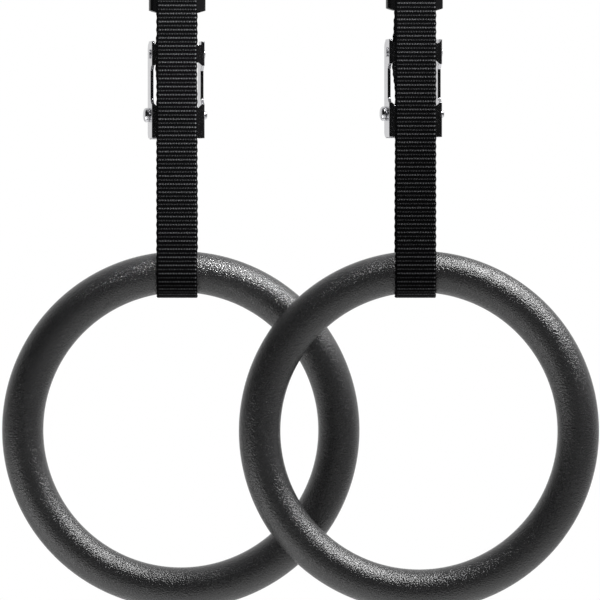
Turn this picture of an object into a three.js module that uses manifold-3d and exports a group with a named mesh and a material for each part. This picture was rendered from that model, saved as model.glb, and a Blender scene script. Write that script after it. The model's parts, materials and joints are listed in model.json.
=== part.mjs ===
// A pair of gymnastics rings, each hanging in a buckled webbing strap from an overhead bar.
// Millimetres, +Z up, seen from the front along +Y. The origin is the middle of the bar line that
// the two strap loops lie over. Heights are given above the centre of a ring, because every part of
// a strap is set out from its ring.
import * as THREE from 'three';
import Module from 'manifold-3d';
import { mergeVertices } from 'three/addons/utils/BufferGeometryUtils.js';

const wasm = await Module();
wasm.setup();

// rings
const ringOuterDiameter = 235;
const tubeDiameter = 27.2;
const shellWall = 6;
const ringSegments = 44;
const ringSpacing = 155.9; // between the two rings' centres, side to side
const ringStagger = 35; // between the two rings' planes, front to back
const dropToRing = 440; // from the bar line to a ring's centre
const tubeRadius = tubeDiameter / 2;
const ringRadius = (ringOuterDiameter - tubeDiameter) / 2;

// webbing
const webWidth = 27;
const webThickness = 1.8;
const clearance = 0.3; // between pieces that touch
const loopRadius = 15.4; // inside of the loops round the bar and round the ring
const loopLeg = 9; // straight part of each loop
const swingRadius = 19.5; // the bar loop's ends are cut to a cylinder this far from the bar's axis
const swingGap = 0.4; // between those ends and the runs that swing past them
const strapOffset = -2.4; // the strap's centre line, sideways from the ring's centre
const legTop = 219; // height where the runs from the ring end: the rear one is past the cam there
const fixedTop = 272.6; // height where the sewn end's stretch ends, under the keeper
const halfWeb = webThickness / 2;
const runDepth = loopRadius + halfWeb; // middle of the front and back runs, from the bar's axis
const layerPitch = webThickness + clearance; // from one layer of webbing to the next on it
const sharpestMitre = 0.7; // limits how far a strip's corner is drawn out
const topRun = 15; // straight webbing under the bar loop, above the stretch that twists
const twistAngle = THREE.MathUtils.degToRad(11); // the buckle's turn round the back run
const legTwistStart = 8; // above the ring loop
const legTwistEnd = 6; // below the buckle
const backTwistStart = 2; // above the tail at its highest

// cam buckle: pressed steel channel, open to the rear
const buckleWidth = 35.5;
const buckleSheet = 2;
const buckleBottom = 192.1;
const buckleTop = 254.9;
const windowBottom = 212.6;
const windowTop = 241.9;
const windowChamfer = 2;
const plateFront = -halfWeb - clearance - buckleSheet; // depth of the channel's front face
const wallBack = 13; // depth of the walls' rear edge
const railFront = 2; // depth of the walls' front edge beside the window
const wallCorner = 4;
const pivotHeight = 207.5;
const pivotDepth = 9;
const pivotRadius = 2;
const pivotHeadRadius = 4.75;
const pivotHeadLength = 3.2;
const headSides = 28;
const pivotTailRadius = 2.8;
const pivotTailLength = 3.4;
const crossbarHeight = 247.7;
const crossbarRadius = 2.4;
const crossbarHeadRadius = 3.25;
const crossbarHeadLength = 0.9;
const bendRadius = crossbarRadius + clearance + halfWeb; // webbing's middle round the crossbar
const pinOverlap = 1; // how far a pin's shank runs into its head

// heights where the webbing changes direction at the crossbar
const sewnEndTop = 266;
const sewnEndFlat = 259; // the sewn end lies on the layer in front from here up
const sewnEndRise = 1.5; // above the crossbar, where the sewn end starts to lean forwards
const behindBarBottom = 241;
const behindBarTop = 252;
const leanStart = 252.6;
const leanEnd = 263.5;
const stepStart = 266.4; // the tail steps over the sewn end
const stepEnd = 272.4;

// cam lever
const camWidth = 30.6;
const camHub = 5.4;
const camTab = 18;
const camTabAngle = -55;
const camTabHalf = 1.3;
const toothDepth = 1;
const toothLag = 7; // degrees from a tooth's tip back to the valley behind it
const camTeeth = [[185, 7.6], [172, 7.8], [159, 8.2], [146, 8.7]]; // degrees and tip radius
const camHeel = [205, 6.2]; // degrees and radius where the toothed face starts
const hubStart = 115; // degrees where the toothed face meets the hub
const hubEnd = -150;
const tabBlend = 15; // degrees of hub left out on each side of the tab
const springBay = 7.2;
const bayReach = 12;
const bayStart = -30; // degrees
const bayEnd = 125;
const hubWall = 1.2; // left round the spring's coil

// keeper and strap tail
const keeperBottom = 274.9;
const keeperLength = 28;
const keeperWidth = 37.2;
const keeperDepth = 8.5;
const keeperSlot = [28, 5.4];
const tailRise = 8; // free tail between the keeper and the folded end
const tailEndLength = 14;
const tailTravel = 30;
const keeperCorner = 2.2;

// torsion spring on the pivot pin
const springWire = 1;
const springCoil = 3.5;
const springLeg = 5;
const springLegs = [[85, -1], [20, 1]]; // degrees, and which end of the coil

const colours = {
  plastic: { color: 0x303033, roughness: 0.45, metalness: 0 },
  webbing: { color: 0x1c1c1f, roughness: 0.8, metalness: 0 },
  steel: { color: 0xc9c9cc, roughness: 0.25, metalness: 1 },
  keeper: { color: 0x19191b, roughness: 0.5, metalness: 0 },
};

const radians = THREE.MathUtils.degToRad;
const height = (aboveRing) => aboveRing - dropToRing;
const polar = (radius, degrees) => new THREE.Vector2(
  radius * Math.cos(radians(degrees)),
  radius * Math.sin(radians(degrees)),
);

// a drawing in depth and height, pulled out sideways and centred on its width
function sideProfile(shape, width) {
  const geometry = new THREE.ExtrudeGeometry(shape, { depth: width, bevelEnabled: false, curveSegments: 10 });
  geometry.translate(0, 0, -width / 2);
  const turned = new THREE.Matrix4().makeBasis(
    new THREE.Vector3(0, 1, 0),
    new THREE.Vector3(0, 0, 1),
    new THREE.Vector3(1, 0, 0),
  );
  return geometry.applyMatrix4(turned);
}

// webbing along a path in depth and height
function webbingStrip(path, thickness = webThickness) {
  const near = [];
  const far = [];
  path.forEach((point, i) => {
    const before = path[Math.max(i - 1, 0)];
    const after = path[Math.min(i + 1, path.length - 1)];
    const inward = point.clone().sub(before);
    const outward = after.clone().sub(point);
    const along = inward.clone().normalize().add(outward.clone().normalize()).normalize();
    const reference = outward.lengthSq() > 0 ? outward : inward;
    const stretch = 1 / Math.max(along.dot(reference.clone().normalize()), sharpestMitre);
    const side = new THREE.Vector2(-along.y, along.x).multiplyScalar(thickness / 2 * stretch);
    near.push(point.clone().add(side));
    far.unshift(point.clone().sub(side));
  });
  return sideProfile(new THREE.Shape([...near, ...far]), webWidth);
}

// flat webbing between two heights, turned about its own middle line by turn(height) radians
function webbingRun(bottom, top, turn = () => 0, slices = 1) {
  const run = new THREE.BoxGeometry(webWidth, webThickness, top - bottom, 1, 1, slices);
  run.translate(0, 0, (top + bottom) / 2);
  const place = run.attributes.position;
  for (let i = 0; i < place.count; i += 1) {
    const point = new THREE.Vector3().fromBufferAttribute(place, i);
    point.applyAxisAngle(new THREE.Vector3(0, 0, 1), turn(point.z));
    place.setXYZ(i, point.x, point.y, point.z);
  }
  return run.translate(0, 0, -dropToRing);
}

// a loop round the bar (up) or round the ring's tube (down), with a short straight leg each side
function webbingLoop(upwards) {
  const way = upwards ? 1 : -1;
  const arcSteps = 16;
  const path = [new THREE.Vector2(-runDepth, -way * loopLeg)];
  for (let i = 0; i <= arcSteps; i += 1) {
    const angle = Math.PI * (1 - i / arcSteps);
    path.push(new THREE.Vector2(runDepth * Math.cos(angle), way * runDepth * Math.sin(angle)));
  }
  path.push(new THREE.Vector2(runDepth, -way * loopLeg));
  return webbingStrip(path);
}

// cuts webbing's square ends at one height back to a cylinder round the bar's axis
function cutForSwing(webbing, level, radius) {
  const place = webbing.attributes.position;
  for (let i = 0; i < place.count; i += 1) {
    if (Math.abs(place.getZ(i) - level) < clearance) {
      place.setZ(i, -Math.sqrt(radius ** 2 - place.getY(i) ** 2));
    }
  }
  return webbing;
}

// points along a smooth step sideways between two heights
function easedRun(fromDepth, toDepth, fromHeight, toHeight, steps) {
  const points = [];
  for (let i = 0; i <= steps; i += 1) {
    const share = i / steps;
    const eased = share * share * (3 - 2 * share);
    points.push(new THREE.Vector2(
      THREE.MathUtils.lerp(fromDepth, toDepth, eased),
      height(THREE.MathUtils.lerp(fromHeight, toHeight, share)),
    ));
  }
  return points;
}

// half of the ring's hollow tube, from one seam to the other; way is -1 for the front, 1 for the rear
function ringShell(way) {
  const outerSteps = 10;
  const innerSteps = 6;
  const profile = [];
  const arc = (radius, steps, from, to) => {
    const trim = Math.asin(clearance / 2 / radius);
    for (let i = 0; i <= steps; i += 1) {
      const share = THREE.MathUtils.lerp(from, to, i / steps);
      const angle = THREE.MathUtils.lerp(trim, Math.PI - trim, share);
      profile.push(new THREE.Vector2(
        ringRadius + radius * Math.cos(angle),
        way * radius * Math.sin(angle),
      ));
    }
  };
  arc(tubeRadius, outerSteps, 0, 1);
  arc(tubeRadius - shellWall, innerSteps, 1, 0);
  profile.push(profile[0].clone());
  if (way < 0) {
    profile.reverse();
  }
  return new THREE.LatheGeometry(profile, ringSegments);
}

function solid(geometry) {
  const bare = geometry.clone();
  bare.deleteAttribute('normal');
  bare.deleteAttribute('uv');
  const merged = mergeVertices(bare, 1e-4);
  const triVerts = merged.index
    ? new Uint32Array(merged.index.array)
    : Uint32Array.from({ length: merged.attributes.position.count }, (_, i) => i);
  const mesh = new wasm.Mesh({
    numProp: 3,
    vertProperties: new Float32Array(merged.attributes.position.array),
    triVerts,
  });
  return new wasm.Manifold(mesh);
}

function fromSolid(body) {
  const mesh = body.getMesh();
  const geometry = new THREE.BufferGeometry();
  geometry.setAttribute('position', new THREE.BufferAttribute(mesh.vertProperties, 3));
  geometry.setIndex(new THREE.BufferAttribute(mesh.triVerts, 1));
  return geometry;
}

// a round bar lying across the strap at a depth and height
function crossRod(radius, fromSide, toSide, depth, level, sides = 20) {
  const rod = new THREE.CylinderGeometry(radius, radius, toSide - fromSide, sides);
  rod.rotateZ(Math.PI / 2);
  return rod.translate((fromSide + toSide) / 2, depth, level);
}

function joined(...geometries) {
  return fromSolid(geometries.map(solid).reduce((whole, piece) => whole.add(piece)));
}

function cut(geometry, ...tools) {
  return fromSolid(tools.map(solid).reduce((whole, tool) => whole.subtract(tool), solid(geometry)));
}

// the channel's front plate, with its window open right out to the walls
function bucklePlate() {
  const half = buckleWidth / 2;
  const inside = half - buckleSheet;
  const bands = [
    [buckleBottom, windowBottom, 1],
    [buckleTop, windowTop, -1],
  ];
  return bands.map(([edge, opening, way]) => {
    const band = new THREE.Shape([
      new THREE.Vector2(-half, height(edge)),
      new THREE.Vector2(half, height(edge)),
      new THREE.Vector2(half, height(opening) + way * windowChamfer),
      new THREE.Vector2(inside, height(opening) + way * windowChamfer),
      new THREE.Vector2(inside - windowChamfer, height(opening)),
      new THREE.Vector2(-inside + windowChamfer, height(opening)),
      new THREE.Vector2(-inside, height(opening) + way * windowChamfer),
      new THREE.Vector2(-half, height(opening) + way * windowChamfer),
    ]);
    const geometry = new THREE.ExtrudeGeometry(band, { depth: buckleSheet, bevelEnabled: false });
    geometry.rotateX(Math.PI / 2);
    return geometry.translate(0, plateFront + buckleSheet, 0);
  });
}

// one side wall of the channel: cut back beside the window, with rounded rear corners
function buckleWall(side) {
  const wall = new THREE.Shape();
  const slope = railFront - plateFront - buckleSheet;
  const low = height(buckleBottom);
  const high = height(buckleTop);
  const lower = height(windowBottom + windowChamfer);
  const upper = height(windowTop - windowChamfer);
  wall.moveTo(plateFront, low);
  wall.lineTo(wallBack - wallCorner, low);
  wall.absarc(wallBack - wallCorner, low + wallCorner, wallCorner, -Math.PI / 2, 0, false);
  wall.lineTo(wallBack, high - wallCorner);
  wall.absarc(wallBack - wallCorner, high - wallCorner, wallCorner, 0, Math.PI / 2, false);
  wall.lineTo(plateFront, high);
  wall.lineTo(plateFront, upper);
  wall.lineTo(plateFront + buckleSheet, upper);
  wall.lineTo(railFront, upper - slope);
  wall.lineTo(railFront, lower + slope);
  wall.lineTo(plateFront + buckleSheet, lower);
  wall.lineTo(plateFront, lower);
  const middle = side * (buckleWidth - buckleSheet) / 2;
  return sideProfile(wall, buckleSheet).translate(middle, 0, 0);
}

function buckleFrame() {
  const reach = buckleWidth;
  const whole = joined(...bucklePlate(), buckleWall(-1), buckleWall(1));
  return cut(
    whole,
    crossRod(pivotRadius + clearance, -reach, reach, pivotDepth, height(pivotHeight)),
    crossRod(crossbarRadius + clearance, -reach, reach, bendRadius, height(crossbarHeight)),
  );
}

function pivotPin() {
  const wall = buckleWidth / 2;
  const level = height(pivotHeight);
  const face = wall + clearance;
  return joined(
    crossRod(pivotRadius, -face - pinOverlap, face + pinOverlap, pivotDepth, level),
    crossRod(pivotHeadRadius, -face - pivotHeadLength, -face, pivotDepth, level, headSides),
    crossRod(pivotTailRadius, face, face + pivotTailLength, pivotDepth, level),
  );
}

function crossbar() {
  const face = buckleWidth / 2 + clearance;
  const level = height(crossbarHeight);
  return joined(
    crossRod(crossbarRadius, -face, face, bendRadius, level),
    crossRod(crossbarHeadRadius, -face - crossbarHeadLength, -face, bendRadius, level),
    crossRod(crossbarHeadRadius, face, face + crossbarHeadLength, bendRadius, level),
  );
}

// the strap's sewn end: down the plate, round the crossbar, and back up onto itself
function fixedEnd() {
  const turns = 10;
  const path = [new THREE.Vector2(0, height(fixedTop))];
  for (let i = 0; i <= turns; i += 1) {
    const angle = Math.PI * (1 + i / turns);
    path.push(new THREE.Vector2(
      bendRadius + bendRadius * Math.cos(angle),
      height(crossbarHeight) + bendRadius * Math.sin(angle),
    ));
  }
  path.push(...easedRun(2 * bendRadius, layerPitch, crossbarHeight + sewnEndRise, sewnEndFlat, 6));
  path.push(new THREE.Vector2(layerPitch, height(sewnEndTop)));
  return webbingStrip(path);
}

// the free end: past the cam, behind the crossbar, and up through the keeper
function strapTail() {
  const behindBar = 2 * bendRadius + layerPitch;
  const behindFold = 2 * layerPitch;
  return webbingStrip([
    ...easedRun(0, behindBar, legTop + clearance, behindBarBottom, 8),
    new THREE.Vector2(behindBar, height(behindBarTop)),
    ...easedRun(behindBar, behindFold, leanStart, leanEnd, 6),
    ...easedRun(behindFold, layerPitch, stepStart, stepEnd, 4),
    new THREE.Vector2(layerPitch, height(keeperBottom + keeperLength + tailRise)),
  ]);
}

// the toothed face, hub and thumb tab seen from the side
function camOutline() {
  const profile = new THREE.Shape();
  const [heelAngle, heelRadius] = camHeel;
  profile.setFromPoints([polar(heelRadius, heelAngle)]);
  camTeeth.forEach(([angle, radius]) => {
    const valley = polar(radius - toothDepth, angle + toothLag);
    const tip = polar(radius, angle);
    profile.lineTo(valley.x, valley.y);
    profile.lineTo(tip.x, tip.y);
  });
  profile.absarc(0, 0, camHub, radians(hubStart), radians(camTabAngle + tabBlend), true);
  const along = polar(1, camTabAngle);
  const across = new THREE.Vector2(-along.y, along.x).multiplyScalar(camTabHalf);
  const end = along.clone().multiplyScalar(camTab);
  const nose = along.clone().multiplyScalar(camTabHalf);
  profile.lineTo(end.x + across.x, end.y + across.y);
  profile.lineTo(end.x + nose.x, end.y + nose.y);
  profile.lineTo(end.x - across.x, end.y - across.y);
  profile.absarc(0, 0, camHub, radians(camTabAngle - tabBlend), radians(hubEnd), true);
  return profile;
}

function camLever() {
  const level = height(pivotHeight);
  const block = sideProfile(camOutline(), camWidth).translate(0, pivotDepth, level);
  const bay = new THREE.Shape();
  const bayCorner = polar(bayReach, bayStart);
  bay.moveTo(0, 0);
  bay.lineTo(bayCorner.x, bayCorner.y);
  bay.absarc(0, 0, bayReach, radians(bayStart), radians(bayEnd), false);
  const bore = crossRod(pivotRadius + clearance, -camWidth, camWidth, pivotDepth, level);
  const well = crossRod(camHub - hubWall, -springBay / 2, springBay / 2, pivotDepth, level);
  const opening = sideProfile(bay, springBay).translate(0, pivotDepth, level);
  return cut(block, bore, well, opening);
}

// torsion spring on the pivot pin, with its two straight ends
function camSpring() {
  const half = (springBay - springWire) / 2 - clearance;
  const level = height(pivotHeight);
  const parts = [crossRod(springCoil, -half, half, pivotDepth, level)];
  springLegs.forEach(([angle, side]) => {
    const leg = new THREE.BoxGeometry(springWire, springLeg + springWire, springWire);
    leg.translate(side * (half - springWire / 2), springCoil + (springLeg - springWire) / 2, 0);
    leg.rotateX(radians(angle));
    parts.push(leg.translate(0, pivotDepth, level));
  });
  const bore = crossRod(pivotRadius + clearance, -springBay, springBay, pivotDepth, level);
  return cut(joined(...parts), bore);
}

function roundedBox(width, depth, corner) {
  const outline = new THREE.Shape();
  const x = width / 2 - corner;
  const y = depth / 2 - corner;
  outline.absarc(x, y, corner, 0, Math.PI / 2, false);
  outline.absarc(-x, y, corner, Math.PI / 2, Math.PI, false);
  outline.absarc(-x, -y, corner, Math.PI, 1.5 * Math.PI, false);
  outline.absarc(x, -y, corner, 1.5 * Math.PI, 2 * Math.PI, false);
  return outline;
}

function keeper() {
  const sleeve = roundedBox(keeperWidth, keeperDepth, keeperCorner);
  const [slotWidth, slotDepth] = keeperSlot.map((size) => size / 2);
  sleeve.holes.push(new THREE.Path([
    new THREE.Vector2(-slotWidth, -slotDepth),
    new THREE.Vector2(-slotWidth, slotDepth),
    new THREE.Vector2(slotWidth, slotDepth),
    new THREE.Vector2(slotWidth, -slotDepth),
  ]));
  const geometry = new THREE.ExtrudeGeometry(sleeve, {
    depth: keeperLength, bevelEnabled: false, curveSegments: 4,
  });
  const middle = slotDepth - halfWeb - clearance;
  return geometry.translate(0, middle, height(keeperBottom));
}

function tailEnd() {
  const bottom = height(keeperBottom + keeperLength + tailRise + clearance);
  const thickness = 2 * webThickness + clearance;
  const tab = new THREE.BoxGeometry(webWidth, thickness, tailEndLength);
  return tab.translate(0, halfWeb + clearance + thickness / 2, bottom + tailEndLength / 2);
}

function named(name, geometry, finish) {
  const mesh = new THREE.Mesh(geometry, new THREE.MeshStandardMaterial(colours[finish]));
  mesh.name = name;
  return mesh;
}

const ease = (share) => share * share * (3 - 2 * share);
const part = (value, from, to) => ease(THREE.MathUtils.clamp((value - from) / (to - from), 0, 1));

// everything on one strap, set out from the middle of its loop over the bar
function strapAndRing(side) {
  const whole = new THREE.Group();
  const add = (name, geometry, finish) => whole.add(named(`${side}_${name}`, geometry, finish));
  const turned = new THREE.Group();
  turned.position.y = runDepth;
  turned.rotation.z = twistAngle;
  whole.add(turned);
  const addTurned = (name, geometry, finish) => turned.add(named(`${side}_${name}`, geometry, finish));

  const ringLoopTop = ringRadius + loopLeg + clearance;
  const barLoopBottom = dropToRing - loopLeg - clearance;
  const runTop = barLoopBottom - topRun - clearance;
  const tailTop = keeperBottom + keeperLength + tailRise + tailEndLength + tailTravel;
  const addRun = (name, depth, bottom, top, turn, slices) => {
    add(name, webbingRun(bottom, top, turn, slices).translate(0, depth, 0), 'webbing');
  };
  const backTurn = (level) => twistAngle * (1 - part(level, tailTop + backTwistStart, runTop));
  const legTurnStart = ringLoopTop + legTwistStart;
  const legTurn = (level) => twistAngle * part(level, legTurnStart, buckleBottom - legTwistEnd);

  add('bar_loop', cutForSwing(webbingLoop(true), -loopLeg, swingRadius), 'webbing');
  [['front', -runDepth], ['back', runDepth]].forEach(([face, depth]) => {
    const run = webbingRun(runTop + clearance, barLoopBottom).translate(0, depth, 0);
    const shaped = cutForSwing(run, height(barLoopBottom), swingRadius + swingGap);
    add(`${face}_run_top`, shaped, 'webbing');
  });
  addRun('front_run', -runDepth, legTop + clearance, runTop);
  addRun('back_run', runDepth, fixedTop + clearance, runTop, backTurn, 16);
  addTurned('fixed_end', fixedEnd(), 'webbing');
  addTurned('buckle_frame', buckleFrame(), 'steel');
  addTurned('buckle_crossbar', crossbar(), 'steel');
  addTurned('buckle_pivot_pin', pivotPin(), 'steel');
  addTurned('cam_lever', camLever(), 'steel');
  addTurned('cam_spring', camSpring(), 'steel');
  addTurned('strap_keeper', keeper(), 'keeper');
  addTurned('strap_tail', strapTail(), 'webbing');
  addTurned('tail_end', tailEnd(), 'webbing');
  addRun('front_leg', -runDepth, ringLoopTop, legTop);
  addRun('back_leg', runDepth, ringLoopTop, legTop, legTurn, 10);
  add('ring_loop', webbingLoop(false).translate(0, 0, height(ringRadius)), 'webbing');
  ['front', 'rear'].forEach((half, i) => {
    const shell = ringShell(i === 0 ? -1 : 1).translate(-strapOffset, 0, height(0));
    add(`ring_${half}_shell`, shell, 'plastic');
  });
  return whole;
}

const rings = new THREE.Group();
[['left', -1], ['right', 1]].forEach(([side, way]) => {
  const assembly = strapAndRing(side);
  assembly.position.set(way * ringSpacing / 2 + strapOffset, -way * ringStagger / 2, 0);
  rings.add(assembly);
});

export default rings;
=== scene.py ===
import json
import math

import bpy
import numpy as np
from mathutils import Matrix, Vector


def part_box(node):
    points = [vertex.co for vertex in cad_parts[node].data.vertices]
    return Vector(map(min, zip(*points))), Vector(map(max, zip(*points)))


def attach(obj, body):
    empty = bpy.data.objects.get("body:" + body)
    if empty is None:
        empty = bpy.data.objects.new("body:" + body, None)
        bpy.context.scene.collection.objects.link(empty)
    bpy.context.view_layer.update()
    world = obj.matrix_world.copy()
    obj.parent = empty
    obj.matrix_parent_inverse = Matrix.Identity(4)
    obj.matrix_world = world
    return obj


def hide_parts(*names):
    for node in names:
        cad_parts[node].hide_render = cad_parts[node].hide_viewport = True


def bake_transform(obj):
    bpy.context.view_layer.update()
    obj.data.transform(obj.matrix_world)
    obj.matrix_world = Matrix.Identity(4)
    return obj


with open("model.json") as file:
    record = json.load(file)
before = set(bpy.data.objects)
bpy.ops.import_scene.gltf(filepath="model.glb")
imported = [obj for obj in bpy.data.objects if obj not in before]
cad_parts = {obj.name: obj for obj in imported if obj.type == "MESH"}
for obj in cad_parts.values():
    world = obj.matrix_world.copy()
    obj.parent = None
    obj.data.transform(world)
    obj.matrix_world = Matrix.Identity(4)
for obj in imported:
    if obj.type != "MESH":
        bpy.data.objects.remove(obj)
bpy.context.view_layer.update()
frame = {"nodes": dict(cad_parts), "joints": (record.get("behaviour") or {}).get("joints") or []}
jointNamed = {joint["name"]: joint for joint in frame["joints"]}
mm = 0.001


# modelling helpers that every piece uses

def soloPiece(piece):
    if bpy.context.object and bpy.context.object.mode != "OBJECT":
        bpy.ops.object.mode_set(mode="OBJECT")
    bpy.ops.object.select_all(action="DESELECT")
    piece.select_set(True)
    bpy.context.view_layer.objects.active = piece


def newest(name):
    piece = bpy.context.object
    piece.name = name
    piece.data.name = name
    soloPiece(piece)
    return piece


def points(piece):
    flat = np.zeros(len(piece.data.vertices) * 3, np.float32)
    piece.data.vertices.foreach_get("co", flat)
    return flat.reshape(-1, 3).astype(float)


def movePoints(piece, places):
    piece.data.vertices.foreach_set("co", np.asarray(places, np.float32).ravel())
    piece.data.update()


def finishWith(piece, kind, **settings):
    soloPiece(piece)
    modifier = piece.modifiers.new(kind.title(), kind)
    for key, value in settings.items():
        setattr(modifier, key, value)
    bpy.ops.object.modifier_apply(modifier=modifier.name)


def settle(piece):
    soloPiece(piece)
    bpy.ops.object.transform_apply(location=True, rotation=True, scale=True)


def closeSeams(piece, reach=0.01 * mm, outwards=True):
    soloPiece(piece)
    bpy.ops.object.mode_set(mode="EDIT")
    bpy.ops.mesh.select_all(action="SELECT")
    bpy.ops.mesh.remove_doubles(threshold=reach)
    if outwards:
        bpy.ops.mesh.normals_make_consistent(inside=False)
    bpy.ops.object.mode_set(mode="OBJECT")


def smoothShade(piece, degrees=None):
    soloPiece(piece)
    if degrees is None:
        bpy.ops.object.shade_smooth()
    else:
        bpy.ops.object.shade_smooth_by_angle(angle=math.radians(degrees))


# flat faces keep their own normals, and only the rounded edges between them are blended
def evenShade(piece, degrees):
    smoothShade(piece, degrees)
    finishWith(piece, "WEIGHTED_NORMAL", keep_sharp=True, weight=80)


# selects the faces or edges whose middle passes the test, and opens edit mode on them
def pick(piece, test, mode="FACE"):
    soloPiece(piece)
    bpy.ops.object.mode_set(mode="EDIT")
    bpy.ops.mesh.select_mode(type=mode)
    bpy.ops.mesh.select_all(action="DESELECT")
    bpy.ops.object.mode_set(mode="OBJECT")
    mesh = piece.data
    if mode == "FACE":
        for face in mesh.polygons:
            face.select = bool(test(face.center, face.normal))
    else:
        for edge in mesh.edges:
            ends = [mesh.vertices[i].co for i in edge.vertices]
            edge.select = bool(test((ends[0] + ends[1]) / 2, ends[1] - ends[0]))
    bpy.ops.object.mode_set(mode="EDIT")


# steps an end face out: each step is (how far along, how much wider)
def growEnd(piece, way, steps):
    reach = max(face.center.dot(way) for face in piece.data.polygons)
    nearEnd = reach - 0.001 * mm
    pick(piece, lambda centre, normal: centre.dot(way) > nearEnd and normal.dot(way) > 0.9)
    middle = way * reach
    for advance, factor in steps:
        bpy.ops.mesh.extrude_region_move(TRANSFORM_OT_translate={"value": way * advance})
        middle = middle + way * advance
        bpy.ops.transform.resize(value=(factor, factor, factor), center_override=middle)
    bpy.ops.object.mode_set(mode="OBJECT")


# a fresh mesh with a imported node's shape, its triangles merged back into whole faces
def fromNode(node, name):
    piece = bpy.data.objects.new(name, frame["nodes"][node].data.copy())
    piece.data.materials.clear()
    bpy.context.scene.collection.objects.link(piece)
    closeSeams(piece, outwards=False)
    bpy.ops.object.mode_set(mode="EDIT")
    bpy.ops.mesh.select_all(action="SELECT")
    bpy.ops.mesh.dissolve_limited(angle_limit=math.radians(1))
    bpy.ops.object.mode_set(mode="OBJECT")
    return piece


def finishPiece(piece, material, slot, *replaced):
    piece.data.materials.clear()
    piece.data.materials.append(material)
    if replaced:
        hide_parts(*replaced)
    return piece


# wraps a node's output, so that shader maths reads as an expression
class Wire:
    def __init__(self, finish, socket):
        self.finish = finish
        self.socket = socket

    def maths(self, operation, first, second=0.0):
        inputs = {0: first, 1: second}
        return self.finish.node("ShaderNodeMath", {"operation": operation}, inputs)

    def __add__(self, other):
        return self.maths("ADD", self, other)

    def __radd__(self, other):
        return self.maths("ADD", other, self)

    def __sub__(self, other):
        return self.maths("SUBTRACT", self, other)

    def __rsub__(self, other):
        return self.maths("SUBTRACT", other, self)

    def __mul__(self, other):
        return self.maths("MULTIPLY", self, other)

    def __rmul__(self, other):
        return self.maths("MULTIPLY", other, self)

    def __pow__(self, other):
        return self.maths("POWER", self, other)

    def cosine(self):
        return self.maths("COSINE", self)

    def size(self):
        return self.maths("ABSOLUTE", self)

    # 0 up to start, 1 from end on
    def above(self, start, end):
        settings = {"clamp": True}
        inputs = {"Value": self, "From Min": start, "From Max": end}
        return self.finish.node("ShaderNodeMapRange", settings, inputs)


# a material on its Principled shader, with the few nodes that the finishes share
class Finish:
    def __init__(self, name, constants):
        self.material = bpy.data.materials.new(name)
        self.material.use_nodes = True
        self.tree = self.material.node_tree
        self.shader = self.tree.nodes["Principled BSDF"]
        for socket, value in constants.items():
            self.shader.inputs[socket].default_value = value

    def feed(self, socket, value):
        if isinstance(value, Wire):
            self.tree.links.new(value.socket, socket)
        else:
            socket.default_value = value

    def node(self, kind, settings, inputs, output=0):
        made = self.tree.nodes.new(kind)
        for key, value in settings.items():
            setattr(made, key, value)
        for key, value in inputs.items():
            self.feed(made.inputs[key], value)
        return Wire(self, made.outputs[output])

    def place(self):
        return self.node("ShaderNodeTexCoord", {}, {}, "Object")

    def noise(self, where, scale, detail=3.0, roughness=0.55):
        inputs = {"Vector": where, "Scale": scale, "Detail": detail, "Roughness": roughness}
        return self.node("ShaderNodeTexNoise", {}, inputs, "Fac")

    def stretched(self, where, scale):
        return self.node("ShaderNodeMapping", {}, {"Vector": where, "Scale": scale})

    def blendColour(self, factor, first, second):
        inputs = {0: factor, 6: first, 7: second}
        return self.node("ShaderNodeMix", {"data_type": "RGBA"}, inputs, 2)

    def bump(self, height, distance, strength=1.0):
        inputs = {"Height": height, "Distance": distance, "Strength": strength}
        return self.node("ShaderNodeBump", {}, inputs)

    def use(self, socket, value):
        self.feed(self.shader.inputs[socket], value)


def grey(level):
    return (level, level, level, 1.0)


# the camera looks level at the rings, a little above their middle
studio = {
    "distance": 4.5,
    "frameHeight": 0.3928,       # what the camera sees from bottom to top, at the rings
    "lift": 0.0854,              # camera above the rings' middle
    "side": 0.0004,
    "sensor": 36.0,
    "floorDrop": 1.3,
    "floorSize": 9.0,
    "floorTone": 0.88,
    "floorGlow": 0.18,
    "darkBefore": -0.1,          # world direction y: dark in front of this, white behind "whiteAfter"
    "whiteAfter": 0.3,
    "darkStrength": 0.004,
    "whiteStrength": 0.9,
    "lamps": [                   # name, place from the rings' middle, size, watts, casts shadows
        ("key", (0.92, -0.37, 1.55), 0.8, 94.0, False),
        ("fill", (-1.7, -0.5, -0.9), 0.9, 12.0, True),
    ],
    "spotPlace": (0.25, -0.85, 1.45),
    "spotAim": (0, 0, 0.37),     # the upper straps
    "spotWatts": 250.0,
    "spotAngle": 12.5,
    "spotBlend": 0.4,
    "spotRadius": 0.05,
}


def ringCentre(side):
    low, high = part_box(f"{side}_ring_front_shell")
    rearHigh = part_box(f"{side}_ring_rear_shell")[1]
    return Vector(((low.x + high.x) / 2, (low.y + rearHigh.y) / 2, (low.z + high.z) / 2))


def buildCamera(middle):
    camera = bpy.data.cameras.new("camera")
    camera.sensor_width = studio["sensor"]
    camera.lens = camera.sensor_width * studio["distance"] / studio["frameHeight"]
    eye = bpy.data.objects.new("camera", camera)
    eye.location = middle + Vector((studio["side"], -studio["distance"], studio["lift"]))
    eye.rotation_euler = (math.pi / 2, 0, 0)
    bpy.context.scene.collection.objects.link(eye)
    bpy.context.scene.camera = eye


def buildFloor(middle):
    bpy.ops.mesh.primitive_grid_add(x_subdivisions=2, y_subdivisions=2, size=studio["floorSize"],
                                    location=middle - Vector((0, 0, studio["floorDrop"])))
    floor = newest("studio_floor")
    pale = Finish("pale_floor", {
        "Base Color": grey(studio["floorTone"]),
        "Roughness": 0.9,
        "Emission Color": grey(1.0),
        "Emission Strength": studio["floorGlow"],
    })
    floor.data.materials.append(pale.material)


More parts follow.
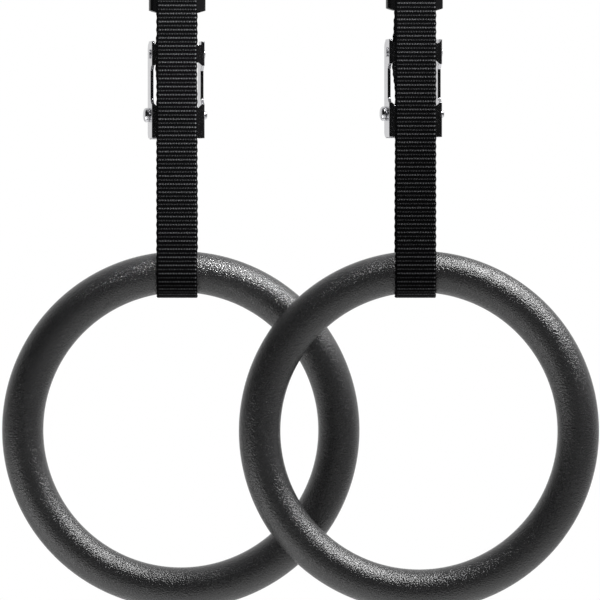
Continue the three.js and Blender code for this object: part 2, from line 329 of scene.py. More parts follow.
def hangLamp(lamp, watts, place, aim):
    lamp.energy = watts
    holder = bpy.data.objects.new(lamp.name, lamp)
    holder.location = place
    holder.rotation_euler = (aim - place).to_track_quat("-Z", "Y").to_euler()
    bpy.context.scene.collection.objects.link(holder)


def buildLamps(middle):
    for name, offset, size, watts, shadows in studio["lamps"]:
        lamp = bpy.data.lights.new(name, "AREA")
        lamp.size = size
        lamp.use_shadow = shadows
        hangLamp(lamp, watts, middle + Vector(offset), middle)
    spot = bpy.data.lights.new("strap_spot", "SPOT")
    spot.spot_size = math.radians(studio["spotAngle"])
    spot.spot_blend = studio["spotBlend"]
    spot.shadow_soft_size = studio["spotRadius"]
    place = middle + Vector(studio["spotPlace"])
    hangLamp(spot, studio["spotWatts"], place, middle + Vector(studio["spotAim"]))


# white all round, softer from the front so that dark plastic keeps its depth
def buildSurroundings():
    world = bpy.data.worlds.new("studio_white")
    bpy.context.scene.world = world
    world.use_nodes = True
    tree = world.node_tree
    background = tree.nodes["Background"]
    background.inputs["Color"].default_value = grey(1.0)
    direction = tree.nodes.new("ShaderNodeTexCoord")
    split = tree.nodes.new("ShaderNodeSeparateXYZ")
    fromFront = tree.nodes.new("ShaderNodeMapRange")
    fromFront.inputs["From Min"].default_value = studio["darkBefore"]
    fromFront.inputs["From Max"].default_value = studio["whiteAfter"]
    fromFront.inputs["To Min"].default_value = studio["darkStrength"]
    fromFront.inputs["To Max"].default_value = studio["whiteStrength"]
    rays = tree.nodes.new("ShaderNodeLightPath")
    seen = tree.nodes.new("ShaderNodeMix")
    seen.inputs["B"].default_value = 1.0
    tree.links.new(direction.outputs["Generated"], split.inputs[0])
    tree.links.new(split.outputs["Y"], fromFront.inputs["Value"])
    tree.links.new(rays.outputs["Is Camera Ray"], seen.inputs["Factor"])
    tree.links.new(fromFront.outputs[0], seen.inputs["A"])
    tree.links.new(seen.outputs[0], background.inputs["Strength"])
    bpy.context.scene.view_settings.view_transform = "Standard"


ringsMiddle = (ringCentre("left") + ringCentre("right")) / 2
buildCamera(ringsMiddle)
buildFloor(ringsMiddle)
buildLamps(ringsMiddle)
buildSurroundings()
print("studio: floor, lamps and camera in place")


# each ring is two hollow halves, moulded in grained plastic
ringShape = {
    "roundSteps": 256,
    "tubeSteps": 64,
    "wall": 6.0 * mm,
    "seamGap": 0.3 * mm,
    "seamEdge": 0.35 * mm,
    "darkTone": (0.0112, 0.0112, 0.0116, 1),
    "paleTone": (0.0155, 0.0155, 0.016, 1),
    "speckTone": (0.0245, 0.0245, 0.025, 1),
    "roughness": 0.16,
    "grainDepth": 0.4 * mm,
}


def ringPlastic():
    finish = Finish("charcoal_ring_plastic", {"IOR": 1.5})
    where = finish.place()
    soft = finish.noise(where, 9.0, 2.0)
    speck = finish.noise(where, 900.0, 2.0)
    grain = finish.node("ShaderNodeTexVoronoi", {"feature": "SMOOTH_F1"},
                        {"Vector": where, "Scale": 1150.0, "Smoothness": 0.5}, "Distance")
    crease = finish.noise(where, 820.0, 4.0, 0.66)
    worn = finish.noise(where, 34.0, 5.0, 0.6).above(0.56, 0.74)
    tone = finish.blendColour(soft, ringShape["darkTone"], ringShape["paleTone"])
    tone = finish.blendColour(speck.above(0.45, 0.7) * 0.35, tone, ringShape["speckTone"])
    finish.use("Base Color", tone)
    finish.use("Roughness", ringShape["roughness"] + crease * 0.1 + worn * 0.05)
    height = grain * 0.6 + crease
    finish.use("Normal", finish.bump(height, ringShape["grainDepth"]))
    return finish.material


# way is -1 for the half in front of the seam and 1 for the half behind it
def ringShell(side, half, way, material):
    low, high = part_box(f"{side}_ring_front_shell")
    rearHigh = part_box(f"{side}_ring_rear_shell")[1]
    tube = (rearHigh.y - low.y) / 2
    outer = (high.z - low.z) / 2
    centre = ringCentre(side)
    bpy.ops.object.select_all(action="DESELECT")
    bpy.ops.mesh.primitive_torus_add(major_segments=ringShape["roundSteps"],
                                     minor_segments=ringShape["tubeSteps"],
                                     major_radius=outer - tube, minor_radius=tube,
                                     location=centre, rotation=(math.pi / 2, 0, 0))
    piece = newest(f"{side}_ring_{half}_half")
    settle(piece)
    bpy.ops.object.mode_set(mode="EDIT")
    bpy.ops.mesh.select_all(action="SELECT")
    seam = centre + Vector((0, way * ringShape["seamGap"] / 2, 0))
    bpy.ops.mesh.bisect(plane_co=seam, plane_no=(0, 1, 0),
                        clear_inner=way > 0, clear_outer=way < 0)
    bpy.ops.object.mode_set(mode="OBJECT")
    closeSeams(piece)
    finishWith(piece, "SOLIDIFY", thickness=ringShape["wall"], offset=-1, use_even_offset=True)
    finishWith(piece, "BEVEL", width=ringShape["seamEdge"], segments=3, limit_method="ANGLE",
               angle_limit=math.radians(50))
    smoothShade(piece, 40)
    finishPiece(piece, material, "ring_plastic", f"{side}_ring_{half}_shell")
    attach(piece, f"{side}_ring")


plastic = ringPlastic()
for side in ("left", "right"):
    ringShell(side, "front", -1, plastic)
    ringShell(side, "rear", 1, plastic)
print("rings: two moulded halves each")


# flat nylon webbing, woven in cross ribs
webbing = {
    "width": 27.0 * mm,
    "thickness": 1.8 * mm,
    "pick": 2.66 * mm,      # one row of the weave
    "columns": 104,         # faces across; two to each warp end
    "rowsPerPick": 4,
    "ribRise": 0.2 * mm,
    "warpRise": 0.13 * mm,
    "layerGap": 0.3 * mm,
    "edgeRound": 0.9 * mm,
    "scallop": 0.2 * mm,
    "underRise": 0.35,      # how much lower every other yarn lies
    # black nylon, darkened further as painted shade between the ribs
    "gapTone": (0.0008, 0.0008, 0.001, 1),
    # painted highlight on the rib crests
    "crestTone": (0.047, 0.048, 0.0505, 1),
    # brighter painted highlight on single strands of the crests
    "strandTone": (0.16, 0.162, 0.168, 1),
    "fibreDepth": 0.06 * mm,
}

# heights above the ring's centre where the strap changes what it does
strapMarks = {
    "foldBottom": 259.0 * mm,     # the sewn end lies on the back run from here
    "sewnEnd": 266.0 * mm,        # to here, where it is cut
    "behindBar": 241.0 * mm,      # the tail stands behind the crossbar from here
    "leavesBar": 252.0 * mm,
    "reachesFold": 263.5 * mm,    # then steps in to pass over the sewn end
    "leavesFold": 266.4 * mm,
    "lieFlat": 272.4 * mm,        # and lies on the back run above here
    "hem": 12.0 * mm,             # length turned back at the tail's end
}

# how far from its neighbours the back of a strap turns to and from the buckle's angle
turnMarks = {
    "aboveSling": 8.0 * mm,
    "belowBuckle": 6.0 * mm,
    "aboveTail": 2.0 * mm,
}

# where the webbing gives from one body to the next; only aboveTail is read, and the level made from
# it is not used
blendMarks = {
    "aboveTail": 4.0 * mm,
    "aboveRun": 4.0 * mm,
    "belowBuckle": 2.0 * mm,
    "aboveSling": 6.0 * mm,
}


# where one strap's webbing runs, from its sewn end over the bar, under the ring and to its tail
class StrapPlan:
    def __init__(self, side):
        self.side = side
        loopLow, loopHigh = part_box(f"{side}_bar_loop")
        runLow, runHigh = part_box(f"{side}_front_run")
        self.middle = (loopLow + loopHigh) / 2
        self.depth = self.middle.y - (runLow.y + runHigh.y) / 2
        self.runTop = runHigh.z
        self.ring = ringCentre(side)
        tilt = jointNamed[f"{side}_ring_tilt"]
        self.tubeLevel = tilt["pos_m"][2]
        axis = jointNamed[f"{side}_cam_press"]["axis"]
        self.twist = math.atan2(axis[1], axis[0])
        self.backLine = Vector((self.middle.x, self.middle.y + self.depth, 0))
        self.turned = Matrix.Translation(self.backLine) @ Matrix.Rotation(self.twist, 4, "Z")
        self.crossbar = self.turned.inverted() @ self.centreOf("buckle_crossbar")
        self.pivot = self.turned.inverted() @ Vector(jointNamed[f"{side}_cam_press"]["pos_m"])
        self.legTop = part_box(f"{side}_front_leg")[1].z
        self.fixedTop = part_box(f"{side}_fixed_end")[1].z
        self.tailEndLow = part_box(f"{side}_tail_end")[0].z
        self.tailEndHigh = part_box(f"{side}_tail_end")[1].z
        self.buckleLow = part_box(f"{side}_buckle_frame")[0].z
        travel = jointNamed[f"{side}_tail_pull"]["range_m"][1]
        self.twistAway = self.tailEndHigh + travel
        self.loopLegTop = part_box(f"{side}_ring_loop")[1].z
        self.layRoute()

    def centreOf(self, node):
        low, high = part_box(f"{self.side}_{node}")
        return (low + high) / 2

    def height(self, name):
        return self.ring.z + strapMarks[name]

    # stations are (line, depth, level): line 0 is the strap's middle, 1 its turned back run
    def straight(self, line, start, end):
        self.stations += [(line, *start), (line, *end)]

    def bend(self, line, centre, radius, start, end, steps=32):
        for i in range(steps + 1):
            angle = math.radians(start + (end - start) * i / steps)
            depth = centre[0] + radius * math.cos(angle)
            level = centre[1] + radius * math.sin(angle)
            self.stations.append((line, depth, level))

    def shift(self, start, end, steps=20):
        for i in range(steps + 1):
            share = i / steps
            eased = share * share * (3 - 2 * share)
            depth = start[0] + (end[0] - start[0]) * eased
            level = start[1] + (end[1] - start[1]) * share
            self.stations.append((1, depth, level))

    def climb(self, start, end, steps=60):
        for i in range(1, steps + 1):
            self.stations.append((1, 0, start + (end - start) * i / steps))

    def mark(self, name):
        self.marks[name] = len(self.stations) - 1

    # the small steps between stretches keep two stations from falling on one point
    def layRoute(self):
        self.stations = []
        self.marks = {"sewnStart": 0}
        step = 0.5 * mm
        pitch = webbing["thickness"] + webbing["layerGap"]
        barZ = self.crossbar.z
        wrap = self.crossbar.y
        self.straight(1, (pitch, self.height("sewnEnd")), (pitch, self.height("foldBottom")))
        self.shift((pitch, self.height("foldBottom")), (2 * wrap, barZ + 3 * step))
        self.bend(1, (wrap, barZ), wrap, 0, -180)
        self.straight(1, (0, barZ + step), (0, self.fixedTop))
        self.mark("fixedTop")
        self.climb(self.fixedTop, self.runTop)
        self.mark("backTop")
        self.straight(1, (0, self.runTop + 2 * step), (0, -step))
        self.bend(0, (0, 0), self.depth, 0, 180)
        self.straight(0, (-self.depth, -step), (-self.depth, self.runTop))
        self.mark("frontTop")
        self.straight(0, (-self.depth, self.runTop - 2 * step), (-self.depth, self.legTop))
        self.mark("frontLegTop")
        self.straight(0, (-self.depth, self.legTop - 2 * step),
                      (-self.depth, self.tubeLevel + step))
        self.bend(0, (0, self.tubeLevel), self.depth, 180, 360)
        self.climb(self.tubeLevel, self.legTop)
        self.mark("backLegTop")
        self.layTail(step, pitch, 2 * wrap + pitch)
        self.measure()

    # behind the crossbar, out through the fold, up against the back run, and over into the hem
    def layTail(self, step, pitch, behind):
        self.shift((0, self.legTop + 0.6 * step), (behind, self.height("behindBar")))
        self.straight(1, (behind, self.height("behindBar") + step),
                      (behind, self.height("leavesBar")))
        self.shift((behind, self.height("leavesBar") + 0.6 * step),
                   (2 * pitch, self.height("reachesFold")))
        self.shift((2 * pitch, self.height("leavesFold")), (pitch, self.height("lieFlat")))
        self.straight(1, (pitch, self.height("lieFlat") + step), (pitch, self.tailEndLow))
        self.mark("tailEnd")
        foldTop = self.tailEndHigh - pitch / 2 - webbing["thickness"] / 2
        self.straight(1, (pitch, self.tailEndLow + step), (pitch, foldTop))
        self.bend(1, (1.5 * pitch, foldTop), pitch / 2, 180, 0, 16)
        self.straight(1, (2 * pitch, foldTop - 0.4 * step),
                      (2 * pitch, foldTop - strapMarks["hem"]))
        self.mark("hemEnd")

    def turnAt(self, level):
        def rise(low, high):
            share = np.clip((level - low) / (high - low), 0, 1)
            return share * share * (3 - 2 * share)
        lower = rise(self.loopLegTop + turnMarks["aboveSling"],
                     self.buckleLow - turnMarks["belowBuckle"])
        upper = rise(self.twistAway + turnMarks["aboveTail"], self.runTop)
        return self.twist * lower * (1 - upper)

    def measure(self):
        line, depth, level = np.array(self.stations).T
        turn = np.where(line > 0.5, self.turnAt(level), 0)
        onBack = line > 0.5
        x = np.where(onBack, self.backLine.x - depth * np.sin(turn), self.middle.x)
        y = np.where(onBack, self.backLine.y + depth * np.cos(turn), self.middle.y + depth)
        self.path = np.column_stack([x, y, level])
        self.turn = turn
        step = np.linalg.norm(np.diff(self.path, axis=0), axis=1)
        self.length = np.concatenate([[0], np.cumsum(step)])
        grain = webbing["pick"] / webbing["rowsPerPick"]
        self.at = {name: round(self.length[i] / grain) * grain for name, i in self.marks.items()}

    def place(self, along):
        return np.column_stack([np.interp(along, self.length, self.path[:, k]) for k in range(3)])

    # the point on the strap, its direction across and its direction out of the face
    def pose(self, along):
        reach = 0.35 * mm
        here = self.place(along)
        ahead = self.place(along + reach) - self.place(along - reach)
        ahead /= np.linalg.norm(ahead, axis=1)[:, None]
        turn = np.interp(along, self.length, self.turn)
        across = np.column_stack([np.cos(turn), np.sin(turn), np.zeros(len(along))])
        out = np.cross(across, ahead)
        return here, across, out


# painted highlights on the rib crests, over black nylon that is darkened further as painted shade
# between the ribs
def webbingNylon():
    finish = Finish("black_nylon_webbing", {"IOR": 1.5, "Specular IOR Level": 0.02})
    weave = finish.node("ShaderNodeUVMap", {"uv_map": "weave"}, {})
    split = finish.node("ShaderNodeSeparateXYZ", {}, {"Vector": weave}, "X")
    across = Wire(finish, split.socket)
    along = Wire(finish, split.socket.node.outputs["Y"])
    # rows, over and brighter shape the painted highlight: narrow bands on the rib crests, strongest
    # on the warp floats and on every other pick; edge fades it out at the margins
    rows = ((along * (2 * math.pi)).cosine() * 0.5 + 0.5) ** 3.7
    over = (across * math.pi).cosine() * (along * math.pi).cosine() * 0.5 + 0.5
    brighter = (along * math.pi).cosine() * 0.3 + 0.7
    fibres = finish.noise(finish.stretched(weave, (5.0, 0.9, 1.0)), 3.0, 4.0, 0.7)
    strands = finish.noise(finish.stretched(weave, (0.31, 0.37, 1.0)), 1.6, 3.0, 0.7)
    fuzz = finish.noise(finish.place(), 2600.0, 2.0)
    share = across * (2 / webbing["columns"])
    edge = share.size().above(0.46, 0.43)
    # painted highlight in small ticks along one selvedge
    selvedgeGlint = share.above(0.44, 0.45) * (1 - share.above(0.47, 0.48)) * rows
    paintedGlintMask = (rows * over ** 2.6 * brighter * edge + selvedgeGlint * 0.7).above(0.03, 0.75)
    # painted highlight on the crests, over black nylon with painted shade between the ribs
    tone = finish.blendColour(paintedGlintMask, webbing["gapTone"], webbing["crestTone"])
    # random strands brighten the painted highlight on the crests
    tone = finish.blendColour(strands.above(0.3, 0.68) * paintedGlintMask * 0.85, tone, webbing["strandTone"])
    finish.use("Base Color", tone)
    finish.use("Roughness", 0.66 - paintedGlintMask * 0.22 + fibres * 0.14)
    height = fibres * 0.7 + fuzz * 0.3
    finish.use("Normal", finish.bump(height, webbing["fibreDepth"], 0.8))
    return finish.material


# a flat woven strip between two marks of a strap's plan, laid along its route
def wovenStrip(name, plan, start, end):
    first, last = plan.at[start], plan.at[end]
    grain = webbing["pick"] / webbing["rowsPerPick"]
    rows = round((last - first) / grain)
    bpy.ops.object.select_all(action="DESELECT")
    bpy.ops.mesh.primitive_grid_add(x_subdivisions=webbing["columns"], y_subdivisions=rows, size=1)
    piece = newest(name)
    finishWith(piece, "SOLIDIFY", thickness=webbing["thickness"], offset=0)
    flat = points(piece)
    across = flat[:, 0] * webbing["width"]
    along = first + (flat[:, 1] + 0.5) * (last - first)
    face = np.sign(flat[:, 2])
    weaveMap(piece, across, along)
    picks = math.pi * along / webbing["pick"]
    warps = math.pi * (across / webbing["width"] + 0.5) * webbing["columns"] / 2
    rib = 0.5 + 0.5 * np.cos(2 * picks)
    strong = 1 - webbing["underRise"] * (0.5 - 0.5 * np.cos(picks) * face)
    yarn = np.cos(warps) * np.cos(picks) * face
    rise = webbing["ribRise"] * (rib - 1) + webbing["warpRise"] * (yarn * strong - 1) * 0.5
    half = webbing["width"] / 2
    inwards = np.clip((np.abs(across) - (half - webbing["edgeRound"])) / webbing["edgeRound"], 0, 1)
    rounded = np.sqrt(np.maximum(1 - inwards ** 2, 0.02))
    out = face * (webbing["thickness"] / 2 + rise) * rounded
    wave = webbing["scallop"] * (np.cos(picks + (across > 0) * math.pi) - 1) * inwards
    spread = across + np.sign(across) * wave
    here, sideways, outwards = plan.pose(along)
    movePoints(piece, here + sideways * spread[:, None] + outwards * out[:, None])
    smoothShade(piece, 75)
    return piece


# across in warp ends and along in picks, so that the finish follows the cloth
def weaveMap(piece, across, along):
    mesh = piece.data
    layer = mesh.uv_layers.active or mesh.uv_layers.new()
    layer.name = "weave"
    corner = np.zeros(len(mesh.loops), np.int32)
    mesh.loops.foreach_get("vertex_index", corner)
    ends = across / webbing["width"] * webbing["columns"] / 2
    both = np.column_stack([ends[corner], along[corner] / webbing["pick"]])
    layer.data.foreach_set("uv", both.astype(np.float32).ravel())


# one strip for each stretch between two joints, all cut from the same run of webbing
def buildStrap(side, material):
    plan = StrapPlan(side)
    body = f"{side}_strap"

    def strip(name, start, end, *replaced):
        piece = wovenStrip(f"{side}_{name}", plan, start, end)
        nodes = [f"{side}_{node}" for node in replaced]
        return finishPiece(piece, material, "strap_webbing", *nodes)

    def level(z):
        return Vector((plan.middle.x, plan.middle.y, z))

    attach(strip("sewn_end", "sewnStart", "fixedTop", "fixed_end"), body)
    twistLow = plan.twistAway + blendMarks["aboveTail"]
    back = strip("back_webbing", "fixedTop", "backTop", "back_run")
    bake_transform(back)
    loop = strip("bar_loop_webbing", "backTop", "frontTop",
                 "bar_loop", "front_run_top", "back_run_top")
    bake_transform(loop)
    front = strip("front_webbing", "frontTop", "frontLegTop", "front_run")
    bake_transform(front)
    sling = strip("ring_sling_webbing", "frontLegTop", "backLegTop",
                  "front_leg", "ring_loop", "back_leg")
    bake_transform(sling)
    tail = strip("tail_webbing", "backLegTop", "tailEnd", "strap_tail")
    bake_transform(tail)
    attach(strip("hemmed_tail_end", "tailEnd", "hemEnd", "tail_end"), f"{side}_tail_end")
    return plan


nylon = webbingNylon()
plans = {side: buildStrap(side, nylon) for side in ("left", "right")}
print("straps: woven strips laid from the sewn end to the hemmed tail")


# a pressed steel buckle with its pins, cam and spring, and a moulded keeper above it
hardware = {
    "bendRadius": 0.8 * mm,
    "earInset": 2.3 * mm,
    "earRise": 1.2 * mm,
    "sheetEdge": 0.22 * mm,
    "leverEdge": 0.22 * mm,
    "keeperEdge": 0.5 * mm,
    "keeperSlope": 0.3,
    "slopeFrom": 14.0 * mm,
    "keeperDark": (0.0012, 0.0012, 0.0014, 1),
    "keeperPale": (0.003, 0.003, 0.0033, 1),
    "pinSides": 48,
    "pinPastWall": 0.3 * mm,
    "pivot": 2.0 * mm,
    "pivotHead": 4.75 * mm,
    "pivotHeadRise": 3.2 * mm,
    "pivotTail": 2.8 * mm,
    "pivotTailRise": 3.4 * mm,
    "bar": 2.4 * mm,
    "barHead": 3.25 * mm,
    "barHeadRise": 0.9 * mm,
    "wire": 0.45 * mm,
    "coilRadius": 2.85 * mm,
    "coilTurns": 5,
    "coilPitch": 2.1,       # wire radii from one turn to the next
    "coilStart": 20,        # degrees
    "coilEnd": 85,
    "springLeg": 7.2 * mm,
}


def platedSteel(name, tone, roughness, streak):
    finish = Finish(name, {"Metallic": 1.0, "IOR": 2.5})
    where = finish.place()
    cloud = finish.noise(where, 60.0, 4.0)
    brush = finish.noise(finish.stretched(where, (1.0, 1.0, 0.06)), 2400.0, 3.0, 0.7)
    marks = finish.noise(finish.stretched(where, (1.0, 0.3, 0.12)), 700.0, 5.0, 0.75)
    scratch = marks.above(0.6, 0.72)
    dark = tuple(level * 0.8 for level in tone) + (1,)
    shade = finish.blendColour(cloud, dark, tone + (1,))
    finish.use("Base Color", shade)
    finish.use("Roughness", roughness + brush * 0.1 + cloud * 0.06 + scratch * 0.12)
    height = brush * streak + scratch * 0.4
    finish.use("Normal", finish.bump(height, 0.02 * mm, 0.5))
    return finish.material


def keeperPlastic():
    finish = Finish("black_keeper_plastic", {"IOR": 1.46, "Specular IOR Level": 0.18})
    where = finish.place()
    grain = finish.noise(where, 1500.0, 3.0)
    cloud = finish.noise(where, 70.0, 3.0)
    tone = finish.blendColour(cloud, hardware["keeperDark"], hardware["keeperPale"])
    finish.use("Base Color", tone)
    finish.use("Roughness", 0.3 + grain * 0.12)
    finish.use("Normal", finish.bump(grain, 0.05 * mm, 0.6))
    return finish.material


def buckleFrame(side, plan, material):
    piece = fromNode(f"{side}_buckle_frame", f"{side}_buckle_channel")
    away = plan.turned.inverted()
    front = min((away @ vertex.co).y for vertex in piece.data.vertices)
    half = max((away @ vertex.co).x for vertex in piece.data.vertices)

    # the side walls stand up as ears above the plate
    slim = half - hardware["earInset"]
    sideways = plan.turned.to_3x3() @ Vector((1, 0, 0))
    soloPiece(piece)
    for way in (-1, 1):
        bpy.ops.object.mode_set(mode="EDIT")
        bpy.ops.mesh.select_all(action="SELECT")
        bpy.ops.mesh.bisect(plane_co=plan.turned @ Vector((way * slim, 0, 0)), plane_no=sideways)
        bpy.ops.object.mode_set(mode="OBJECT")
    top = max(vertex.co.z for vertex in piece.data.vertices)
    places = points(piece)
    for i, vertex in enumerate(piece.data.vertices):
        if vertex.co.z > top - 0.01 * mm:
            onWall = abs((away @ vertex.co).x) > slim + 0.01 * mm
            places[i][2] += hardware["earRise"] * (1 if onWall else -1)
    movePoints(piece, places)

    # the two upright edges where the plate turns into the side walls
    def onBend(middle, run):
        spot = away @ middle
        upright = abs(run.z) > 0.8 * run.length
        reach = 0.05 * mm
        return upright and abs(abs(spot.x) - half) < reach and abs(spot.y - front) < reach

    pick(piece, onBend, "EDGE")
    bpy.ops.mesh.bevel(offset=hardware["bendRadius"], segments=5, affect="EDGES")
    bpy.ops.object.mode_set(mode="OBJECT")
    finishWith(piece, "BEVEL", width=hardware["sheetEdge"], segments=2, limit_method="ANGLE",
               angle_limit=math.radians(42))
    evenShade(piece, 35)
    finishPiece(piece, material, "buckle_steel", f"{side}_buckle_frame")
    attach(piece, f"{side}_strap")


# a turned pin lying across the buckle, with its ends stepped out
def crossPin(name, plan, radius, reach, place, ends):
    bpy.ops.object.select_all(action="DESELECT")
    bpy.ops.mesh.primitive_cylinder_add(vertices=hardware["pinSides"], radius=radius, depth=2 * reach,
                                        rotation=(0, math.pi / 2, 0))
    piece = newest(name)
    settle(piece)
    for way, steps in ends:
        growEnd(piece, Vector((way, 0, 0)), steps)
    piece.matrix_world = plan.turned @ Matrix.Translation(place)
    settle(piece)
    closeSeams(piece)
    evenShade(piece, 35)
    return piece


# the steps of a rivet's head, from its flat back to its crown
def domed(radius, head, length):
    flare = head / radius
    lip = 0.12 * mm
    return [
        (0.0, flare * 0.97),
        (lip, 1 / 0.97),
        (length * 0.45, 1.0),
        (length * 0.28, 0.9),
        (length * 0.17, 0.76),
        (length * 0.1 - lip, 0.5),
    ]


def bucklePins(side, plan, material):
    away = plan.turned.inverted()
    frameMesh = frame["nodes"][f"{side}_buckle_frame"].data
    wall = max(abs((away @ vertex.co).x) for vertex in frameMesh.vertices)
    reach = wall + hardware["pinPastWall"]

    def fit(name, node, radius, centre, ends):
        pin = crossPin(f"{side}_{name}", plan, radius, reach, Vector((0, centre.y, centre.z)), ends)
        finishPiece(pin, material, "pin_steel", f"{side}_{node}")
        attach(pin, f"{side}_strap")

    radius = hardware["pivot"]
    fit("pivot_rivet", "buckle_pivot_pin", radius, plan.pivot, [
        (-1, domed(radius, hardware["pivotHead"], hardware["pivotHeadRise"])),
        (1, domed(radius, hardware["pivotTail"], hardware["pivotTailRise"])),
    ])
    radius = hardware["bar"]
    barHead = domed(radius, hardware["barHead"], hardware["barHeadRise"])
    fit("webbing_bar", "buckle_crossbar", radius, plan.crossbar, [(-1, barHead), (1, barHead)])


def camLever(side, material):
    piece = fromNode(f"{side}_cam_lever", f"{side}_toothed_cam")
    finishWith(piece, "BEVEL", width=hardware["leverEdge"], segments=2, limit_method="ANGLE",
               angle_limit=math.radians(38))
    evenShade(piece, 35)
    finishPiece(piece, material, "cam_steel", f"{side}_cam_lever")
    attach(piece, f"{side}_cam_lever")


# the coil's wire runs out into a straight leg at each end
def camSpring(side, plan, material):
    turns = hardware["coilTurns"]
    radius = hardware["coilRadius"]
    width = hardware["coilPitch"] * hardware["wire"] * turns
    start = math.radians(hardware["coilStart"])
    end = math.radians(hardware["coilEnd"]) + (turns - 1) * 2 * math.pi
    steps = 20 * turns

    def wirePoint(share, distance):
        angle = start + (end - start) * share
        return ((share - 0.5) * width, distance * math.cos(angle), distance * math.sin(angle))

    coil = [wirePoint(i / steps, radius) for i in range(steps + 1)]
    route = [wirePoint(0, hardware["springLeg"]), *coil, wirePoint(1, hardware["springLeg"])]
    curve = bpy.data.curves.new(f"{side}_spring", "CURVE")
    curve.dimensions = "3D"
    curve.bevel_depth = hardware["wire"]
    curve.bevel_resolution = 3
    curve.use_fill_caps = True
    spline = curve.splines.new("POLY")
    spline.points.add(len(route) - 1)
    for point, place in zip(spline.points, route):
        point.co = (*place, 1)
    holder = bpy.data.objects.new(f"{side}_torsion_spring", curve)
    bpy.context.scene.collection.objects.link(holder)
    soloPiece(holder)
    bpy.ops.object.convert(target="MESH")
    piece = newest(f"{side}_torsion_spring")
    piece.matrix_world = plan.turned @ Matrix.Translation((0, plan.pivot.y, plan.pivot.z))
    settle(piece)
    closeSeams(piece)
    smoothShade(piece, 50)
    finishPiece(piece, material, "spring_steel", f"{side}_cam_spring")
    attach(piece, f"{side}_strap")


# the keeper's lower edge rises towards its sides
def strapKeeper(side, plan, material):
    piece = fromNode(f"{side}_strap_keeper", f"{side}_moulded_keeper")
    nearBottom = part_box(f"{side}_strap_keeper")[0].z + 1 * mm
    away = plan.turned.inverted()
    places = points(piece)
    for i, vertex in enumerate(piece.data.vertices):
        outwards = abs((away @ vertex.co).x) - hardware["slopeFrom"]
        if vertex.co.z < nearBottom and outwards > 0:
            places[i][2] += outwards * hardware["keeperSlope"]
    movePoints(piece, places)
    finishWith(piece, "BEVEL", width=hardware["keeperEdge"], segments=3, limit_method="ANGLE",
               angle_limit=math.radians(50))
    evenShade(piece, 35)
    finishPiece(piece, material, "keeper_plastic", f"{side}_strap_keeper")
    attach(piece, f"{side}_keeper")


nickel = platedSteel("nickel_plated_steel", (0.58, 0.58, 0.6), 0.07, 0.3)
rivetSteel = platedSteel("bright_rivet_steel", (0.62, 0.62, 0.64), 0.12, 0.2)
camSteel = platedSteel("brushed_cam_steel", (0.6, 0.6, 0.62), 0.28, 0.8)
springSteel = platedSteel("dark_spring_steel", (0.32, 0.32, 0.33), 0.32, 0.2)
keeperBlack = keeperPlastic()
for side, plan in plans.items():
    buckleFrame(side, plan, nickel)
    bucklePins(side, plan, rivetSteel)
    camLever(side, camSteel)
    camSpring(side, plan, springSteel)
    strapKeeper(side, plan, keeperBlack)
print("buckles: channel, pins, cam, spring and keeper")


# rows of bonded thread hold the sewn end and the tail's hem
stitching = {
    "thread": 0.24 * mm,
    "length": 2.0 * mm,
    "pitch": 2.7 * mm,
    "perRow": 9,
    "rowPitch": 1.35 * mm,
    "sewnRows": 5,
    "hemRows": 3,
    "hemStart": 3.0 * mm,
    "sink": 0.05 * mm,
    "darkTone": (0.004, 0.004, 0.0045, 1),
    "paleTone": (0.02, 0.02, 0.0215, 1),
}


def threadFinish():
    finish = Finish("black_bonded_thread", {"IOR": 1.5, "Specular IOR Level": 0.4})
    where = finish.place()
    ply = finish.noise(where, 4200.0, 2.0)
    tone = finish.blendColour(ply, stitching["darkTone"], stitching["paleTone"])
    finish.use("Base Color", tone)
    finish.use("Roughness", 0.45 + ply * 0.2)
    finish.use("Normal", finish.bump(ply, 0.05 * mm, 0.8))
    return finish.material


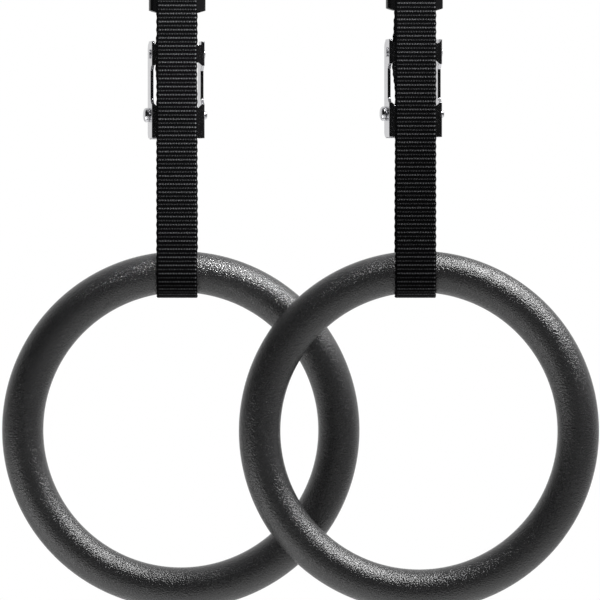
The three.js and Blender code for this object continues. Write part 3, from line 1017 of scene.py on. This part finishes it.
# one stitch lying along X, with its ends drawn down into the webbing
def oneStitch():
    thread = stitching["thread"]
    reach = stitching["length"] / 2 - thread
    bpy.ops.object.select_all(action="DESELECT")
    bpy.ops.mesh.primitive_uv_sphere_add(segments=8, ring_count=6, radius=thread,
                                         rotation=(0, math.pi / 2, 0))
    piece = newest("one_stitch")
    settle(piece)
    for way in (-1, 1):
        pick(piece, lambda centre, normal: centre.x * way > thread * 0.2)
        bpy.ops.transform.translate(value=(way * reach, 0, 0))
        bpy.ops.object.mode_set(mode="OBJECT")
        pick(piece, lambda centre, normal: centre.x * way > reach + thread * 0.5)
        bpy.ops.transform.translate(value=(0, thread * 0.8, 0))
        bpy.ops.object.mode_set(mode="OBJECT")
    smoothShade(piece)
    return piece


# rows of stitches on both faces of a seam; each face is (its depth, the way it looks)
def seam(name, plan, low, rows, faces, pattern, material, body):
    copies = []
    middle = (stitching["perRow"] - 1) / 2
    for row in range(rows):
        lift = low + (row + 0.5) * stitching["rowPitch"]
        stagger = 0.25 * (-1) ** row
        for i in range(stitching["perRow"]):
            along = (i - middle + stagger) * stitching["pitch"]
            for depth, way in faces:
                stitch = bpy.data.objects.new(name, pattern.data.copy())
                bpy.context.scene.collection.objects.link(stitch)
                facing = Matrix.Rotation(0 if way < 0 else math.pi, 4, "Z")
                spot = Matrix.Translation((along, depth - way * stitching["sink"], lift))
                stitch.matrix_world = plan.turned @ spot @ facing
                copies.append(stitch)
    bpy.ops.object.select_all(action="DESELECT")
    for stitch in copies:
        stitch.select_set(True)
    bpy.context.view_layer.objects.active = copies[0]
    bpy.ops.object.join()
    piece = newest(name)
    settle(piece)
    finishPiece(piece, material, "strap_webbing")
    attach(piece, body)


def buildStitching(side, plan, pattern, material):
    skin = webbing["thickness"] / 2
    pitch = webbing["thickness"] + webbing["layerGap"]
    seam(f"{side}_sewn_end_stitching", plan, plan.height("foldBottom"), stitching["sewnRows"],
         ((-skin, -1), (pitch + skin, 1)), pattern, material, f"{side}_strap")
    hemLow = plan.tailEndLow + stitching["hemStart"]
    seam(f"{side}_hem_stitching", plan, hemLow, stitching["hemRows"],
         ((pitch - skin, -1), (2 * pitch + skin, 1)), pattern, material, f"{side}_tail_end")


thread = threadFinish()
pattern = oneStitch()
for side, plan in plans.items():
    buildStitching(side, plan, pattern, thread)
bpy.data.objects.remove(pattern)
print("stitching: sewn ends and tail hems")
